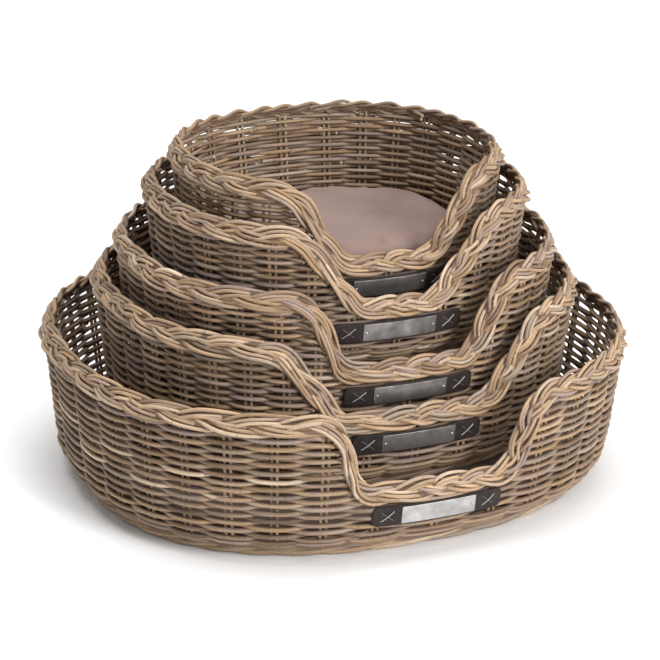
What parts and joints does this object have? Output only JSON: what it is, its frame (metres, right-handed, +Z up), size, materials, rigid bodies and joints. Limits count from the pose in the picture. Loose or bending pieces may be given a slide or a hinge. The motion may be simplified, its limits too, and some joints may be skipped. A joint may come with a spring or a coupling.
{
  "type": "nest of oval wicker pet beds",
  "caption": "Stepped nest of oval wicker pet bed baskets with rolled rims, low front entries, leather name straps and loose cushions.",
  "frame": {"origin": "centre of the footprint on the floor, under the middle of the largest basket's bounding box", "axes": "+X along the length of the ovals, +Y towards the high backs, -Y towards the low front entries, +Z up"},
  "size_m": [0.8888, 0.8063, 0.5132],
  "materials": {
    "rattan": "weathered grey-brown round cane, matte",
    "stake": "paler thin cane, matte",
    "leather": "dark brown, slightly waxed",
    "steel_plate": "brushed and a little aged",
    "nail": "bright small heads",
    "thread": "pale grey waxed thread",
    "cushion_cloth": "plain taupe woven cloth"
  },
  "bodies": {
    "basket_xl": {"xl_floor": "rattan", "xl_foot_border": "rattan", "xl_stakes": "stake", "xl_wall_weave": "rattan", "xl_rim_border": "rattan", "xl_label_strap": "leather", "xl_label_plate": "steel_plate", "xl_plate_nails": "nail", "xl_stitches": "thread"},
    "cushion_xl": {"xl_cushion": "cushion_cloth"},
    "basket_l": {"l_floor": "rattan", "l_foot_border": "rattan", "l_stakes": "stake", "l_wall_weave": "rattan", "l_rim_border": "rattan", "l_label_strap": "leather", "l_label_plate": "steel_plate", "l_plate_nails": "nail", "l_stitches": "thread"},
    "cushion_l": {"l_cushion": "cushion_cloth"},
    "basket_m": {"m_floor": "rattan", "m_foot_border": "rattan", "m_stakes": "stake", "m_wall_weave": "rattan", "m_rim_border": "rattan", "m_label_strap": "leather", "m_label_plate": "steel_plate", "m_plate_nails": "nail", "m_stitches": "thread"},
    "cushion_m": {"m_cushion": "cushion_cloth"},
    "basket_s": {"s_floor": "rattan", "s_foot_border": "rattan", "s_stakes": "stake", "s_wall_weave": "rattan", "s_rim_border": "rattan", "s_label_strap": "leather", "s_label_plate": "steel_plate", "s_plate_nails": "nail", "s_stitches": "thread"},
    "cushion_s": {"s_cushion": "cushion_cloth"},
    "basket_xs": {"xs_floor": "rattan", "xs_foot_border": "rattan", "xs_stakes": "stake", "xs_wall_weave": "rattan", "xs_rim_border": "rattan", "xs_label_strap": "leather", "xs_label_plate": "steel_plate", "xs_plate_nails": "nail", "xs_stitches": "thread"},
    "cushion_xs": {"xs_cushion": "cushion_cloth"}
  },
  "joints": [
    {"name": "lift_cushion_xl", "type": "slide", "parent": "basket_xl", "child": "cushion_xl", "axis": [0, 0, 1], "range_m": [0, 0.24]},
    {"name": "lift_basket_l", "type": "slide", "parent": "cushion_xl", "child": "basket_l", "axis": [0, 0, 1], "range_m": [0, 0.19]},
    {"name": "lift_cushion_l", "type": "slide", "parent": "basket_l", "child": "cushion_l", "axis": [0, 0, 1], "range_m": [0, 0.25]},
    {"name": "lift_basket_m", "type": "slide", "parent": "cushion_l", "child": "basket_m", "axis": [0, 0, 1], "range_m": [0, 0.195]},
    {"name": "lift_cushion_m", "type": "slide", "parent": "basket_m", "child": "cushion_m", "axis": [0, 0, 1], "range_m": [0, 0.24]},
    {"name": "lift_basket_s", "type": "slide", "parent": "cushion_m", "child": "basket_s", "axis": [0, 0, 1], "range_m": [0, 0.175]},
    {"name": "lift_cushion_s", "type": "slide", "parent": "basket_s", "child": "cushion_s", "axis": [0, 0, 1], "range_m": [0, 0.24]},
    {"name": "lift_basket_xs", "type": "slide", "parent": "cushion_s", "child": "basket_xs", "axis": [0, 0, 1], "range_m": [0, 0.185]},
    {"name": "lift_cushion_xs", "type": "slide", "parent": "basket_xs", "child": "cushion_xs", "axis": [0, 0, 1], "range_m": [0, 0.22]}
  ]
}
